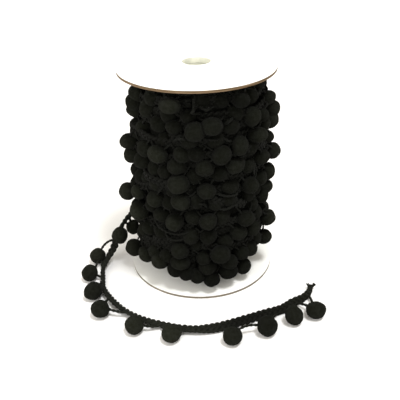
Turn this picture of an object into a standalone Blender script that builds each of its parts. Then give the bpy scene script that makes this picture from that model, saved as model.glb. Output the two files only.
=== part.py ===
"""A roll of pompom trim: a paper-faced board spool, the wound trim and the trim's loose end.

Metres, +Z up. The spool's axis is Z and the underside of its lower disc is at z = 0.
Angles round the roll are in degrees from the front (-Y) towards +X.
"""
import math
import random

import bmesh
import bpy
from mathutils import Matrix, Vector

for old in list(bpy.data.objects):
    bpy.data.objects.remove(old, do_unlink=True)

MM = 0.001
GAP = 0.3 * MM  # air between neighbouring pieces

# The spool: two die-cut board discs on a wound paper tube.
SPOOL_HEIGHT = 129.5 * MM
DISC_RADIUS = 45.0 * MM
BOARD = 1.6 * MM
HOLE_RADIUS = 8.0 * MM
TUBE_RADIUS = 10.0 * MM
LIP_RADIUS = 12.5 * MM  # the top disc's paper climbs over the tube's flared end, a low collar
LIP_TOP = 9.2 * MM
LIP_RISE = 2.0 * MM
EDGE_ROUND = 0.2 * MM
DISC_STEPS = 48
TUBE_STEPS = 32

# The trim: a plaited braid with pompoms tied along one edge by a carrier yarn.
POMPOM_RADIUS = 5.6 * MM
BRAID_WIDTH = 5.0 * MM
YARN_THICKNESS = 1.2 * MM

# The wound body under the outer pompoms: braid and older turns, lumpy to the touch.
BODY_UNDER = 3.6 * MM  # its surface lies this far inside the outer pompoms' centres
BODY_LUMP = 0.8 * MM
BODY_EDGE = 3.0 * MM  # how far the body draws in at its two ends
BODY_STEPS = 112
BODY_RINGS = 46
RIM_PER_BORE = 4  # the bore has one side for every four of the rim's
BODY_BORE = TUBE_RADIUS + GAP
BODY_LOW = BOARD + GAP
BODY_HIGH = SPOOL_HEIGHT - BOARD - GAP

# Outer turns from top to bottom: the turn's height at the front, how much lower it lies at the
# sides, how far its pompoms' centres stand from the axis on the left and on the right, and the
# angles where a pompom stands on the front.
TURNS = (
    # height, how much lower its sides lie, left, right, angles on the front
    (120.4, 3.0, 34.6, 37.6, (-72, -46, 3, 20, 50)),
    (112.6, 0.5, 35.7, 39.6, (-74, -52, -8, 32, 76)),
    (106.0, 0.8, 35.2, 42.0, (-82, -37, -20, 26, 62, 80)),
    (99.4, 0.2, 36.4, 41.8, (-62, -8, 14, 66, 78)),
    (92.2, 3.6, 41.0, 39.8, (-76, -50, -14, -2, 48, 76)),
    (84.8, 4.6, 41.2, 43.3, (-76, -58, -18, 4, 29, 60, 77)),
    (79.0, 1.0, 37.4, 40.0, (-43, -30, -4, 18, 46)),
    (71.0, 4.6, 38.0, 41.2, (-40, 26, 60, 76)),
    (64.5, 8.4, 44.6, 39.8, (-77, -40, -3, 24, 76)),
    (52.4, 6.5, 38.2, 40.2, (-75, -38, -6, 18)),
    (40.6, 5.0, 39.0, 42.2, (-56, -38, -8, 6, 34, 50, 76)),
    (34.4, 3.0, 39.6, 38.4, (-66, -34, 22, 50)),
    (25.0, 2.6, 41.0, 40.6, (-46, -32, 2, 38, 50, 76)),
    (20.6, 6.8, 43.4, 36.0, (-78, -23, 6, 28)),
    (15.4, -1.0, 40.6, 35.0, (-58, -38)),
    (12.8, 0.0, 39.6, 37.4, (-24, -9, 20, 43)),
    (10.4, 0.0, 38.6, 37.2, (32,)),
)

# Pompoms that stand out over the turns on the front.
STANDING_OUT = (
    # angle, height, millimetres across, millimetres up
    (-20, 120.1, 11.6, 8.8),
    (33, 120.4, 9.4, 9.0),
    (45, 109.2, 9.8, 11.0),
    (-3, 106.3, 10.8, 11.8),
    (10, 108.9, 11.8, 10.6),
    (51, 97.2, 12.2, 9.2),
    (32, 95.0, 10.2, 11.2),
    (17, 91.3, 11.0, 12.0),
    (-32, 91.1, 11.8, 10.2),
    (-16, 75.6, 12.2, 11.6),
    (5, 70.9, 10.4, 9.8),
    (43, 68.5, 10.2, 11.6),
    (-15, 64.4, 11.4, 9.8),
    (-61, 60.6, 9.4, 8.8),
    (6, 51.6, 10.6, 10.4),
    (-21, 50.6, 11.6, 10.4),
    (68, 51.0, 9.6, 9.4),
    (39, 47.5, 10.8, 10.8),
    (-62, 46.9, 12.0, 11.8),
    (-18, 31.7, 10.8, 10.8),
    (15, 28.3, 11.8, 11.6),
    (7, 10.2, 10.0, 10.2),
)
STAND_REACH = 41.2  # mm from the axis to their centres
SUNK = 2.0 * MM  # the other front pompoms lie this much deeper
SUNK_WITHIN = 68  # degrees either side of the front
SUNK_ABOVE = 17.0 * MM
BACK_REACH = 36.2  # the turns lie closer just behind the roll's widest places
BACK_SWELL = 4.8  # and come out again by this much on its back
BACK_BLEND = 14.0  # degrees over which a turn draws in, at its widest places
SWELL_FROM = 110.0  # degrees
SWELL_TO = 165.0
BACK_FIRST = 104  # degrees, the first pompom of a turn on the back
BACK_STEP = 27
BACK_STAGGER = 11  # degrees that each turn starts later than the one above it
BACK_LAST = 262
BACK_JITTER = 5.0
HEIGHT_JITTER = 1.8 * MM
WOUND_SEED = 11
CLEAR_OF_TAIL = 9.1 * MM  # from a pompom's centre to the loose braid's middle line
CROWDED = 6.0 * MM  # closer centres than this are one pompom

# Stretches of braid that show between the pompoms: start and end angle, start and end height,
# distance from the axis, and how far the middle hangs below the line.
SHOWN_BRAIDS = (
    # start, end, start height, end height, reach, sag
    (-57, -6, 73.5, 71.0, 38.6, -1.0),
    (-50, -4, 30.5, 41.5, 37.8, 0.5),
    (7, 41, 64.4, 56.0, 39.4, -1.2),
    (-24, 30, 98.5, 97.0, 36.5, -2.0),
    (150, 205, 66.0, 60.0, 36.5, 1.0),
    (120, 170, 36.0, 34.0, 36.5, 1.0),
)
BRAID_STEPS = 20

# The last stretch on the roll, from its back to the left, where the loose end leaves it.
LEAVING = (
    # angle, distance from the axis, height
    (-160, 34.5, 34.0),
    (-145, 36.5, 33.6),
    (-130, 39.0, 32.4),
    (-118, 41.2, 31.4),
)
STRAIGHT_END = 2.0 * MM  # the stretch ends square to the loose end

# The loose end's route, millimetres: off the roll, down to the table and round the front.
TAIL_ROUTE = (
    (-41.4, 15.7, 29.2),
    (-45.8, 12.0, 27.0),
    (-49.9, 8.9, 23.2),
    (-53.4, 5.5, 18.6),
    (-56.2, 1.6, 12.9),
    (-59.0, -2.4, 7.9),
    (-61.8, -8.8, 4.6),
    (-63.1, -16.0, 3.0),
    (-62.4, -25.3, 2.7),
    (-61.2, -32.6, 2.6),
    (-57.7, -39.8, 2.6),
    (-52.6, -47.6, 2.6),
    (-46.3, -55.6, 2.6),
    (-39.1, -62.0, 2.6),
    (-31.8, -66.5, 2.6),
    (-23.6, -70.1, 2.6),
    (-13.1, -73.4, 2.6),
    (-1.9, -74.6, 2.6),
    (9.5, -73.0, 2.6),
    (21.3, -68.9, 2.6),
    (33.4, -64.1, 2.6),
    (45.2, -59.1, 2.6),
    (52.5, -54.4, 2.6),
    (57.8, -50.5, 2.6),
    (61.8, -47.1, 2.6),
    (63.9, -43.2, 2.6),
    (65.1, -39.2, 2.6),
)
TAIL_STEP = 6.0 * MM  # between the tube's points

# The loose end's pompoms, millimetres: the centre, the radius, and the two places along the
# braid, measured from where it leaves the roll, where the pompom's carrier yarn is tied.
TAIL_POMPOMS = (
    # name, x, y, z, radius, tied at, tied at
    ("a", -46.8, 12.5, 16.4, 5.0, 6.5, 13.5),
    ("b", -52.3, -3.0, 19.9, 5.3, 17.5, 28.0),
    ("c", -68.2, -4.3, 4.7, 4.7, 34.0, 48.0),
    ("d", -70.2, -23.2, 5.0, 5.0, 51.5, 59.0),
    ("e", -65.6, -41.5, 5.3, 5.3, 66.0, 77.0),
    ("f", -59.2, -58.2, 5.3, 5.3, 80.0, 97.5),
    ("g", -38.2, -73.4, 5.3, 5.3, 101.5, 118.0),
    ("h", -16.7, -80.5, 5.3, 5.3, 122.0, 134.0),
    ("i", 15.1, -83.6, 5.3, 5.3, 149.0, 165.0),
    ("j", 34.7, -77.5, 5.3, 5.3, 177.5, 187.0),
    ("k", 50.6, -68.9, 5.3, 5.3, 194.0, 201.5),
    ("l", 63.9, -64.3, 5.0, 5.0, 205.5, 213.5),
)
LOCK_ROOT = 0.84  # a loose pompom's pile is parted into locks down to this share of its radius
LOCK_WIDTH = 0.86  # of the room that a lock has
YARN_SIDES = 5
YARN_CLEAR = BRAID_WIDTH / 2 + 0.8 * MM
YARN_SINK = 3.4 * MM  # how far inside its pompom a carrier yarn ends


def finish(name, colour, roughness):
    """A plain Principled material."""
    material = bpy.data.materials.new(name)
    material.use_nodes = True
    shader = material.node_tree.nodes["Principled BSDF"]
    shader.inputs["Base Color"].default_value = (*colour, 1.0)
    shader.inputs["Roughness"].default_value = roughness
    return material


PAPER = finish("white_paper", (0.93, 0.93, 0.92), 0.55)
TUBE_PAPER = finish("grey_tube_paper", (0.62, 0.60, 0.53), 0.8)
WOUND_PILE = finish("black_trim", (0.012, 0.012, 0.011), 0.95)
BRAID_YARN = finish("black_braid", (0.010, 0.010, 0.009), 0.9)
POMPOM_PILE = finish("black_pompom", (0.013, 0.013, 0.012), 0.95)


def new_object(name, mesh, material):
    """Put a mesh into the scene under its piece's name."""
    mesh.materials.append(material)
    piece = bpy.data.objects.new(name, mesh)
    bpy.context.scene.collection.objects.link(piece)
    return piece


def mesh_from(bm, name):
    """Turn a bmesh into a mesh whose faces point out."""
    bmesh.ops.recalc_face_normals(bm, faces=bm.faces)
    mesh = bpy.data.meshes.new(name)
    bm.to_mesh(mesh)
    bm.free()
    return mesh


def polar(angle, reach, height):
    """The point at an angle round the roll, a distance from the axis and a height."""
    turn = math.radians(angle)
    return Vector((reach * math.sin(turn), -reach * math.cos(turn), height))


def turned_ring(name, profile, steps):
    """A ring turned about Z from a closed profile of (radius, height) corners."""
    bm = bmesh.new()
    rings = []
    for step in range(steps):
        angle = 360.0 * step / steps
        rings.append([bm.verts.new(polar(angle, radius, height)) for radius, height in profile])
    for step in range(steps):
        near, far = rings[step], rings[(step + 1) % steps]
        for corner in range(len(profile)):
            after = (corner + 1) % len(profile)
            bm.faces.new((near[corner], far[corner], far[after], near[after]))
    return mesh_from(bm, name)


def disc_profile(low, lip):
    """A board disc's section, with slightly rounded rims and, on the top disc, the lip."""
    high = low + BOARD
    outer = DISC_RADIUS - EDGE_ROUND
    section = [
        (HOLE_RADIUS, low),
        (outer, low),
        (DISC_RADIUS, low + EDGE_ROUND),
        (DISC_RADIUS, high - EDGE_ROUND),
        (outer, high),
    ]
    if lip:
        section.append((LIP_RADIUS, high))
        high += LIP_RISE
        section.append((LIP_TOP, high))
        section.append((HOLE_RADIUS + EDGE_ROUND, high))
        high -= EDGE_ROUND
    section.append((HOLE_RADIUS, high))
    return section


def make_spool():
    """The two discs and the tube that stands between them."""
    low_disc = turned_ring("flange_bottom", disc_profile(0.0, False), DISC_STEPS)
    new_object("flange_bottom", low_disc, PAPER)
    high_disc = turned_ring("flange_top", disc_profile(SPOOL_HEIGHT - BOARD, True), DISC_STEPS)
    new_object("flange_top", high_disc, PAPER)
    section = [
        (HOLE_RADIUS, BODY_LOW),
        (TUBE_RADIUS, BODY_LOW),
        (TUBE_RADIUS, BODY_HIGH),
        (HOLE_RADIUS, BODY_HIGH),
    ]
    new_object("core_tube", turned_ring("core_tube", section, TUBE_STEPS), TUBE_PAPER)


def smooth_route(points, step):
    """Points every step or so along a smooth curve through the given points."""
    ends = [points[0] * 2 - points[1]] + list(points) + [points[-1] * 2 - points[-2]]
    fine = []
    for index in range(1, len(ends) - 2):
        before, start, stop, after = ends[index - 1 : index + 3]
        for part in range(12):
            t = part / 12
            fine.append(
                0.5
                * (
                    2 * start
                    + (stop - before) * t
                    + (2 * before - 5 * start + 4 * stop - after) * t**2
                    + (3 * start - before - 3 * stop + after) * t**3
                )
            )
    fine.append(points[-1].copy())
    length = sum((b - a).length for a, b in zip(fine, fine[1:]))
    count = max(2, round(length / step))
    return [point_along(fine, length * index / count) for index in range(count + 1)]


def point_along(line, distance):
    """The point at a distance along a line of points."""
    for start, stop in zip(line, line[1:]):
        span = (stop - start).length
        if distance <= span:
            return start.lerp(stop, distance / span)
        distance -= span
    return line[-1].copy()


def direction_along(line, distance):
    """The line's direction at a distance along it."""
    ahead = point_along(line, distance + 1.0 * MM)
    behind = point_along(line, max(0.0, distance - 1.0 * MM))
    return (ahead - behind).normalized()


def add_tube(bm, line, radius, sides):
    """A closed tube with flat ends along a line of points."""
    rings = []
    side = None
    for index, centre in enumerate(line):
        ahead = line[min(index + 1, len(line) - 1)]
        behind = line[max(index - 1, 0)]
        run = (ahead - behind).normalized()
        if side is None:
            side = run.orthogonal().normalized()
        side = (side - run * side.dot(run)).normalized()
        other = run.cross(side)
        ring = []
        for corner in range(sides):
            turn = 2 * math.pi * corner / sides
            offset = side * math.cos(turn) + other * math.sin(turn)
            ring.append(bm.verts.new(centre + offset * radius))
        rings.append(ring)
    for near, far in zip(rings, rings[1:]):
        for corner in range(sides):
            after = (corner + 1) % sides
            bm.faces.new((near[corner], near[after], far[after], far[corner]))
    bm.faces.new(list(reversed(rings[0])))
    bm.faces.new(rings[-1])


def tail_points():
    """The loose end's tube points, from the roll to the cut end."""
    return smooth_route([Vector(point) * MM for point in TAIL_ROUTE], TAIL_STEP)


def turn_reach(left, right, angle):
    """A turn's reach goes from left to right across the front and is closer at the back."""
    front = left + (right - left) * (1 + math.sin(math.radians(angle))) / 2
    off_front = abs((angle + 180) % 360 - 180)
    swell = min(max((off_front - SWELL_FROM) / (SWELL_TO - SWELL_FROM), 0.0), 1.0)
    back = BACK_REACH + BACK_SWELL * swell
    share = min(max((off_front - 90 + BACK_BLEND / 2) / BACK_BLEND, 0.0), 1.0)
    return front + (back - front) * share


def turn_height(height, drop, angle):
    """A turn hangs lower at the sides of the roll than at its front and back."""
    return height - drop * math.sin(math.radians(angle)) ** 2


def wound_pompoms():
    """The centre and the size of each outer pompom on the roll."""
    chance = random.Random(WOUND_SEED)
    tail = tail_points()
    loose = [Vector(row[1:4]) * MM for row in TAIL_POMPOMS]
    lowest = BODY_LOW + POMPOM_RADIUS
    highest = BODY_HIGH - POMPOM_RADIUS
    chosen = []
    for angle, level, across, up in STANDING_OUT:
        chosen.append((polar(angle, STAND_REACH * MM, level * MM), (across + up) / 4 * MM))
    for number, (height, drop, left, right, front) in enumerate(TURNS):
        first = BACK_FIRST + BACK_STAGGER * number % BACK_STEP
        back = range(first, BACK_LAST, BACK_STEP)
        for place, angle in enumerate([*front, *back]):
            rise = 0.0
            if place >= len(front):
                angle += chance.uniform(-BACK_JITTER, BACK_JITTER)
                rise = chance.uniform(-HEIGHT_JITTER, HEIGHT_JITTER)
            level = min(max(turn_height(height, drop, angle) * MM + rise, lowest), highest)
            reach = turn_reach(left, right, angle) * MM
            if abs(angle) < SUNK_WITHIN and level > SUNK_ABOVE:
                reach -= SUNK
            centre = polar(angle, reach, level)
            size = POMPOM_RADIUS * chance.uniform(0.94, 1.0)
            near_tail = min((centre - point).length for point in tail) < CLEAR_OF_TAIL
            near_loose = min((centre - point).length for point in loose) < 2 * POMPOM_RADIUS + GAP
            crowded = any((centre - other).length < CROWDED for other, _ in chosen)
            if not (near_tail or near_loose or crowded):
                chosen.append((centre, size))
    return chosen


def body_reach(angle, height):
    """How far the wound body reaches: it follows the turns above and below a height."""
    above = TURNS[0]
    for turn in TURNS:
        if turn[0] * MM <= height:
            share = (height - turn[0] * MM) / max((above[0] - turn[0]) * MM, GAP)
            low_reach = turn_reach(turn[2], turn[3], angle)
            high_reach = turn_reach(above[2], above[3], angle)
            return (low_reach + (high_reach - low_reach) * min(share, 1.0)) * MM - BODY_UNDER
        above = turn
    return turn_reach(above[2], above[3], angle) * MM - BODY_UNDER


def shown_braid_line(start, stop, low, high, reach, sag):
    """Places along a stretch of braid that shows on the roll, close enough to make a ridge."""
    line = []
    for step in range(BRAID_STEPS + 1):
        share = step / BRAID_STEPS
        level = low + (high - low) * share - sag * math.sin(math.pi * share)
        line.append(polar(start + (stop - start) * share, reach * MM, level * MM))
    return line


def outward_reach(centre, size, angle, height):
    """Where a level line from the axis leaves a ball, or None where it misses the ball."""
    turn = math.radians(angle)
    ahead = centre.x * math.sin(turn) - centre.y * math.cos(turn)
    aside = centre.x * math.cos(turn) + centre.y * math.sin(turn)
    room = size**2 - aside**2 - (centre.z - height) ** 2
    if room <= 0 or ahead <= 0:
        return None
    return ahead + math.sqrt(room)


def wound_reach(lumps, angle, height):
    """How far the roll reaches at an angle and a height, over its body, pompoms and braid."""
    wave = math.sin(math.radians(angle * 7 + height / MM * 21))
    wave += math.cos(math.radians(angle * 11 - height / MM * 33))
    reach = body_reach(angle, height) + BODY_LUMP * wave / 2
    for centre, size in lumps:
        over = outward_reach(centre, size, angle, height)
        if over:
            reach = max(reach, over)
    return reach


def wound_surface():
    """The wound trim as one closed skin: staggered rings of points round the tube's bore."""
    lumps = wound_pompoms()
    for stretch in SHOWN_BRAIDS:
        lumps += [(point, BRAID_WIDTH / 2) for point in shown_braid_line(*stretch)]
    bm = bmesh.new()
    rings = []
    for level in range(BODY_RINGS + 1):
        height = BODY_LOW + (BODY_HIGH - BODY_LOW) * level / BODY_RINGS
        ring = []
        for step in range(BODY_STEPS):
            angle = 360.0 * (step + 0.5 * (level % 2)) / BODY_STEPS
            if level in (0, BODY_RINGS):
                reach = body_reach(angle, height) - BODY_EDGE
            else:
                reach = wound_reach(lumps, angle, height)
            ring.append(bm.verts.new(polar(angle, reach, height)))
        rings.append(ring)
    for level in range(BODY_RINGS):
        near, far = rings[level], rings[level + 1]
        for step in range(BODY_STEPS):
            after = (step + 1) % BODY_STEPS
            if level % 2:
                bm.faces.new((near[step], near[after], far[after]))
                bm.faces.new((near[step], far[after], far[step]))
            else:
                bm.faces.new((near[step], near[after], far[step]))
                bm.faces.new((near[after], far[after], far[step]))
    close_round_bore(bm, rings[0], rings[-1])
    return mesh_from(bm, "wound_trim")


def close_round_bore(bm, low_ring, high_ring):
    """The roll's flat ends and its bore, which has one side for every few of the rim's."""
    sides = BODY_STEPS // RIM_PER_BORE
    corner_radius = BODY_BORE / math.cos(math.pi / sides)
    bores = []
    for height, rim in ((BODY_LOW, low_ring), (BODY_HIGH, high_ring)):
        bore = [bm.verts.new(polar(360.0 * side / sides, corner_radius, height)) for side in range(sides)]
        bores.append(bore)
        for step in range(BODY_STEPS):
            after = (step + 1) % BODY_STEPS
            side = step // RIM_PER_BORE
            bm.faces.new((rim[step], rim[after], bore[side]))
            if (step + 1) % RIM_PER_BORE == 0:
                bm.faces.new((rim[after], bore[(side + 1) % sides], bore[side]))
    for side in range(sides):
        after = (side + 1) % sides
        bm.faces.new((bores[0][side], bores[0][after], bores[1][after], bores[1][side]))


def make_wound_trim():
    """The roll of trim in one solid, with the stretch of braid that leads to the loose end."""
    roll = new_object("wound_trim", wound_surface(), WOUND_PILE)
    roll.data.shade_smooth()
    leaving = [polar(angle, reach * MM, height * MM) for angle, reach, height in LEAVING]
    tail = tail_points()
    run = direction_along(tail, 0.0)
    leaving.append(tail[0] - run * (GAP + STRAIGHT_END))
    line = smooth_route(leaving, TAIL_STEP) + [tail[0] - run * GAP]
    bm = bmesh.new()
    add_tube(bm, line, BRAID_WIDTH / 2, 8)
    stretch = new_object("leaving_braid", mesh_from(bm, "leaving_braid"), BRAID_YARN)
    fuse(roll, stretch)


def fuse(piece, other):
    """Join another closed solid to a piece with a Boolean union."""
    other.hide_render = True
    other.display_type = "WIRE"
    union = piece.modifiers.new("fuse", "BOOLEAN")
    union.operation = "UNION"
    union.solver = "EXACT"
    union.use_self = True
    union.object = other


def make_tail_braid():
    """The loose braid as a tube with filled ends."""
    curve = bpy.data.curves.new("tail_braid", "CURVE")
    curve.dimensions = "3D"
    curve.bevel_depth = BRAID_WIDTH / 2
    curve.bevel_resolution = 2
    curve.use_fill_caps = True
    spline = curve.splines.new("POLY")
    line = tail_points()
    spline.points.add(len(line) - 1)
    for point, place in zip(spline.points, line):
        point.co = (*place, 1.0)
    curve.materials.append(BRAID_YARN)
    piece = bpy.data.objects.new("tail_braid", curve)
    bpy.context.scene.collection.objects.link(piece)


def add_locked_ball(bm, centre, radius):
    """A pompom whose pile is parted into three-sided locks with their roots in one ball."""
    turn = Matrix.Rotation(math.radians(20.0), 4, "X")
    made = bmesh.ops.create_icosphere(bm, subdivisions=1, radius=LOCK_ROOT * radius, matrix=turn)
    faces = {face for vert in made["verts"] for face in vert.link_faces}
    for face in sorted(faces, key=lambda one: one.index):
        middle = face.calc_center_median()
        outer = bmesh.ops.extrude_discrete_faces(bm, faces=[face])["faces"][0]
        for vert in outer.verts:
            spread = vert.co - middle
            vert.co = (middle + spread * LOCK_WIDTH).normalized() * radius
        tip = bmesh.ops.poke(bm, faces=[outer])["verts"][0]
        tip.co = tip.co.normalized() * radius
    lowest = min(vert.co.z for vert in bm.verts)
    bmesh.ops.translate(bm, verts=bm.verts, vec=centre - Vector((0, 0, lowest + radius)))


def make_tail_pompoms():
    """Each loose pompom with the two lengths of carrier yarn that tie it to the braid."""
    line = tail_points()
    for name, x, y, z, across, first_tie, second_tie in TAIL_POMPOMS:
        centre = Vector((x, y, z)) * MM
        radius = across * MM
        bm = bmesh.new()
        add_locked_ball(bm, centre, radius)
        ball = new_object("tail_pompom_" + name, mesh_from(bm, "tail_pompom"), POMPOM_PILE)
        yarn = bmesh.new()
        for tie in (first_tie, second_tie):
            knot = point_along(line, tie * MM)
            run = direction_along(line, tie * MM)
            towards = centre - knot
            towards -= run * towards.dot(run)
            start = knot + towards.normalized() * YARN_CLEAR
            stop = centre + (start - centre).normalized() * (radius - YARN_SINK)
            add_tube(yarn, [start, stop], YARN_THICKNESS / 2, YARN_SIDES)
        arms = new_object("yarn_" + name, mesh_from(yarn, "yarn"), BRAID_YARN)
        fuse(ball, arms)


make_spool()
make_wound_trim()
make_tail_braid()
make_tail_pompoms()
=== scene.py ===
import math
import random

import bmesh
import bpy
import numpy as np
from mathutils import Matrix, Vector


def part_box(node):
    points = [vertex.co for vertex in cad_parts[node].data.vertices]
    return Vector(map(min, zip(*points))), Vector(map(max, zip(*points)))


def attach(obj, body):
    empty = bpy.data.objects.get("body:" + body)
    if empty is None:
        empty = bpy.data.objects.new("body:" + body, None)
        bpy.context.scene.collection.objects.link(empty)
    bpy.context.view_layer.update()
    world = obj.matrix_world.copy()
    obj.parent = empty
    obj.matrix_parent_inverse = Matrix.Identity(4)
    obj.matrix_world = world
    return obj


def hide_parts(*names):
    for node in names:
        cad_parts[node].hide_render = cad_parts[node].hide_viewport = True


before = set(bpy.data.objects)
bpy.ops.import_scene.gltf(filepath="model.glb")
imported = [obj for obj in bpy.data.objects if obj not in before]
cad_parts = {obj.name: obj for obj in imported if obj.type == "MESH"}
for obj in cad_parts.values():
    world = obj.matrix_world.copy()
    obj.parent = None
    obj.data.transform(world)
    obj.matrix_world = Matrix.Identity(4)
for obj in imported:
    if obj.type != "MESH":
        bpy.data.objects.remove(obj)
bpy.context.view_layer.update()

MM = 0.001

# ------------------------ the camera
# It stands at table height plus a forearm, in front of the roll, and looks down on it by about
# thirty degrees, held a touch out of level.
EYE = (0.0, -0.3293, 0.2272)
LOOK_DOWN = math.radians(29.29)
TURN_LEFT = math.radians(0.03)
OUT_OF_LEVEL = math.radians(-1.6)
LENS_MM = 54.0


def add_object(name, data):
    """A new object in the scene."""
    added = bpy.data.objects.new(name, data)
    bpy.context.scene.collection.objects.link(added)
    return added


camera_data = bpy.data.cameras.new("camera")
camera_data.sensor_width = 36.0
camera_data.lens = LENS_MM
camera_data.clip_start = 0.01
camera_data.clip_end = 20.0
camera = add_object("camera", camera_data)
camera.matrix_world = (
    Matrix.Translation(EYE)
    @ Matrix.Rotation(TURN_LEFT, 4, "Z")
    @ Matrix.Rotation(math.pi / 2 - LOOK_DOWN, 4, "X")
    @ Matrix.Rotation(OUT_OF_LEVEL, 4, "Z")
)
bpy.context.scene.camera = camera

# ------------------------ the loose end's braid
# A flat three-strand plait of soft cotton yarn, 5.6 mm wide, with a scalloped edge where the
# strands turn back. It slips off the roll on the left, drops to the table and lies in an arc
# round the front, now on its edge, now flat, as it was wound.
STRAND_RADIUS = 1.03 * MM
STRAND_FLAT = 0.82  # a strand's thickness as a share of its width
STRAND_SWING = 1.9 * MM  # how far a strand swings to either side
STRAND_LIFT = 0.5 * MM  # how far it passes over and under the others
SWING_SHARP = 0.985  # 1 turns a strand back sharply at the braid's edge, 0 in an even wave
PLAIT_REPEAT = 9.6 * MM  # one strand's way over and back
PLY_TWIST = 3.4 * MM  # one turn of a strand's three plies
FLUFF_RADIUS = 1.5 * MM  # the strands' loose fibres fill the gaps along the plait's middle
FLUFF_FLAT = 0.4
TAIL_ROUTE = (
    (-41.4, 15.7, 29.2),
    (-45.8, 12.0, 27.0),
    (-49.9, 8.9, 23.2),
    (-53.4, 5.5, 18.6),
    (-55.6, 1.6, 12.9),
    (-58.4, -2.4, 7.9),
    (-61.8, -8.8, 4.6),
    (-63.1, -16.0, 3.0),
    (-62.1, -25.3, 2.7),
    (-61.1, -32.8, 2.6),
    (-58.1, -40.3, 2.6),
    (-53.1, -48.2, 2.6),
    (-46.6, -56.0, 2.6),
    (-39.1, -62.0, 2.6),
    (-31.8, -66.5, 2.6),
    (-23.6, -70.1, 2.6),
    (-13.1, -73.4, 2.6),
    (-1.9, -74.6, 2.6),
    (9.5, -73.0, 2.6),
    (21.3, -68.9, 2.6),
    (33.4, -64.1, 2.6),
    (45.1, -59.7, 2.6),
    (52.4, -54.0, 2.6),
    (58.0, -50.7, 2.6),
    (61.8, -47.1, 2.6),
    (63.9, -43.2, 2.6),
    (65.1, -39.2, 2.6),
)
TAIL_LEAN = (
    # mm along the braid, degrees from standing on its edge to lying flat
    (0, 25), (16, 46), (22, 66), (28, 95), (34, 84),
    (40, 64), (46, 38), (52, -6), (58, -11), (64, -13),
    (78, -54), (104, -60), (118, -82), (142, -86), (149, -110),
    (158, -124), (172, -138), (200, -144), (208, -170), (222, -166),
)
TAIL_STEP = 0.42 * MM
SPAN_STEPS = 12  # in each span of a curve, before it is spaced evenly
EDGE_DOWN = 0.6  # the braid's pompom edge faces outward, and down by this share
TABLE_TOUCH = 0.03 * MM  # nothing soft sinks below this


def smooth_line(points, step):
    """Evenly spaced points along a smooth curve through the given ones."""
    points = np.asarray(points, float)
    ends = np.vstack([2 * points[0] - points[1], points, 2 * points[-1] - points[-2]])
    share = np.linspace(0, 1, SPAN_STEPS, endpoint=False)[:, None]
    fine = []
    for before, start, stop, after in zip(ends, ends[1:], ends[2:], ends[3:]):
        bend = 2 * before - 5 * start + 4 * stop - after
        twist = 3 * start - before - 3 * stop + after
        span = 2 * start + (stop - before) * share + bend * share**2 + twist * share**3
        fine.append(0.5 * span)
    return even_line(np.vstack(fine + [points[-1:]]), step)


def lengths_along(line):
    """The distance from the line's start to each of its points."""
    return np.concatenate([[0.0], np.cumsum(np.linalg.norm(np.diff(line, axis=0), axis=1))])


def even_line(line, step):
    """The same line with points an even step apart."""
    along = lengths_along(line)
    count = max(2, round(along[-1] / step))
    places = np.linspace(0, along[-1], count + 1)
    return np.stack([np.interp(places, along, line[:, axis]) for axis in range(3)], axis=1)


def unit(vectors):
    """Vectors brought to length one."""
    vectors = np.asarray(vectors, float)
    return vectors / np.linalg.norm(vectors, axis=-1, keepdims=True)


def directions(line, face):
    """Run, side and face directions along a line, the face as near as can be to the wanted one."""
    run = unit(np.gradient(line, axis=0))
    face = np.broadcast_to(face, line.shape)
    face = unit(face - run * np.sum(face * run, axis=1, keepdims=True))
    return run, np.cross(run, face), face


def tube_skin(
    line, side, face, radius, corners, plies=0, twist=1.0, ply_depth=0.0, phase=0.0, flat=1.0
):
    """Points and faces of a closed tube; its section may show the plies of a twisted yarn."""
    turn = np.linspace(0, 2 * math.pi, corners, endpoint=False)[None, :]
    along = lengths_along(line)[:, None]
    radius = np.broadcast_to(np.asarray(radius, float), (len(line),))[:, None]
    if plies:
        radius = radius * (1 + ply_depth * np.cos(plies * turn - 2 * math.pi * along / twist + phase))
    offset = side[:, None] * (np.cos(turn) * radius)[..., None]
    offset = offset + face[:, None] * (np.sin(turn) * radius * flat)[..., None]
    points = (line[:, None] + offset).reshape(-1, 3)
    near = np.arange(corners)
    after = (near + 1) % corners
    rows = np.arange(len(line) - 1)[:, None] * corners
    quads = np.stack(
        [rows + near, rows + near + corners, rows + after + corners, rows + after], axis=-1
    ).reshape(-1, 4)
    first, last = len(points), len(points) + 1
    end = (len(line) - 1) * corners
    points = np.vstack([points, line[0], line[-1]])
    caps = [(first, int(a), int(b)) for a, b in zip(near, after)]
    caps += [(last, int(b + end), int(a + end)) for a, b in zip(near, after)]
    return points, quads.tolist() + caps


def gather(skins):
    """Several skins as one list of points and faces."""
    points, faces, start = [], [], 0
    for skin_points, skin_faces in skins:
        points.append(skin_points)
        faces += [[corner + start for corner in face] for face in skin_faces]
        start += len(skin_points)
    return np.vstack(points), faces


def make_piece(name, skin, *materials):
    """An object from points and faces, which rides on the roll."""
    points, faces = skin
    mesh = bpy.data.meshes.new(name)
    mesh.from_pydata(points.tolist(), [], faces)
    for material in materials:
        mesh.materials.append(material)
    mesh.shade_smooth()
    piece = add_object(name, mesh)
    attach(piece, "root")
    return piece


def plaited(line, side, face, start_turn=0.0, corners=12, ply_depth=0.09):
    """The three strands of a flat plait along a line."""
    along = lengths_along(line)
    skins = []
    for number in range(3):
        turn = 2 * math.pi * (along / PLAIT_REPEAT + number / 3) + start_turn
        wave = np.arcsin(SWING_SHARP * np.sin(turn)) / math.asin(SWING_SHARP)
        swing = side * (STRAND_SWING * wave)[:, None]
        lift = face * (STRAND_LIFT * np.sin(2 * turn))[:, None]
        path = line + swing + lift
        _, strand_side, strand_face = directions(path, face)
        strand = (path, strand_side, strand_face, STRAND_RADIUS, corners)
        skins.append(tube_skin(*strand, 3, PLY_TWIST, ply_depth, number, STRAND_FLAT))
    return skins


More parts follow.
